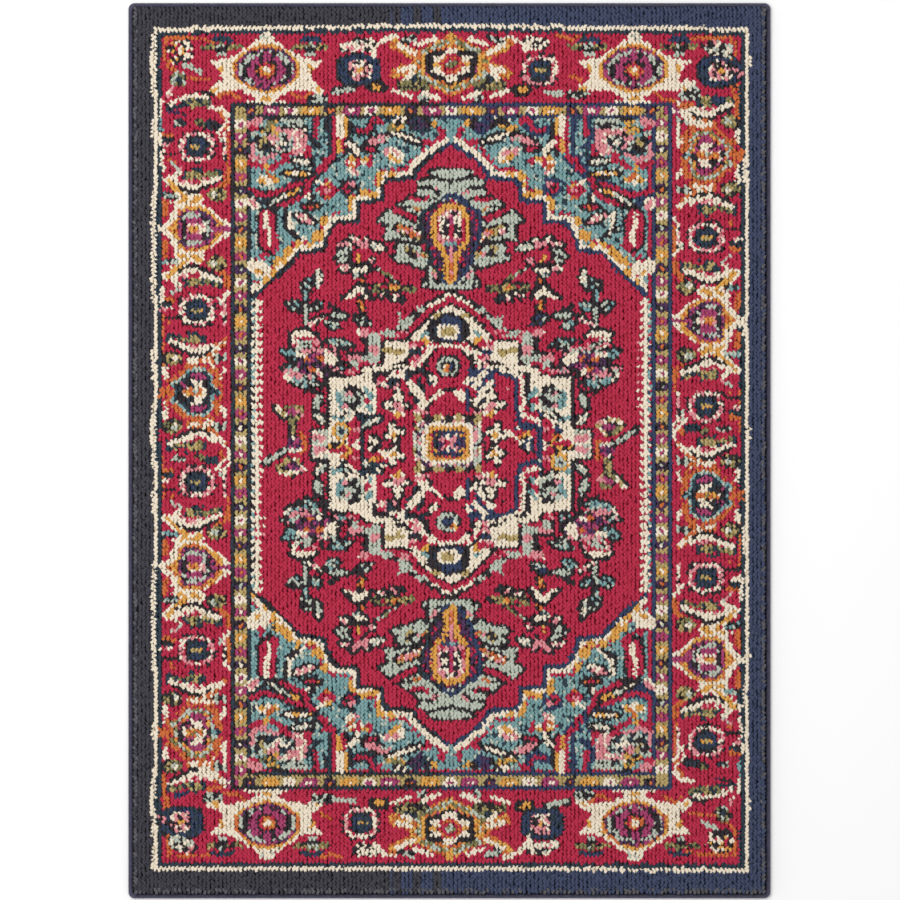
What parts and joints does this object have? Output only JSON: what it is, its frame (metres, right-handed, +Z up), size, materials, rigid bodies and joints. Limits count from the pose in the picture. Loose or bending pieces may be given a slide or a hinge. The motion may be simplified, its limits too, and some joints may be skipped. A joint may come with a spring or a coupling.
{
  "type": "area rug",
  "caption": "Small rectangular woven rug with cut pile in border bands, a medallion field with corner spandrels, and a wound cord edge.",
  "frame": {"origin": "on the floor, under the middle of the rug", "axes": "+Z up out of the pile, +Y along the length towards the back end, +X to the right along the width"},
  "size_m": [0.66, 0.92, 0.0118],
  "materials": {
    "latex_coating": "dry latex coat, matt",
    "jute_ground": "plain woven ground, matt",
    "cotton_core": "cotton cord, matt",
    "serging_yarn": "wound synthetic yarn, slight sheen",
    "outer_border_yarn": "cut pile, matt",
    "ivory_line_yarn": "cut pile, matt",
    "navy_line_yarn": "cut pile, matt",
    "main_border_yarn": "cut pile in a flowered border pattern, matt",
    "guard_stripe_yarn": "cut pile in a floret stripe, matt",
    "field_yarn": "cut pile, matt",
    "medallion_yarn": "cut pile, matt",
    "pendant_yarn": "cut pile, matt",
    "spandrel_yarn": "cut pile, matt"
  },
  "bodies": {
    "root": {"back_coating": "latex_coating", "ground_weave": "jute_ground", "edge_cord": "cotton_core", "edge_serging": "serging_yarn", "outer_border_pile": "outer_border_yarn", "ivory_line_pile": "ivory_line_yarn", "navy_line_pile": "navy_line_yarn", "main_border_pile": "main_border_yarn", "guard_stripe_pile": "guard_stripe_yarn", "field_pile": "field_yarn", "medallion_pile": "medallion_yarn", "pendant_back": "pendant_yarn", "pendant_front": "pendant_yarn", "spandrel_back_left": "spandrel_yarn", "spandrel_back_right": "spandrel_yarn", "spandrel_front_left": "spandrel_yarn", "spandrel_front_right": "spandrel_yarn"}
  },
  "joints": []
}
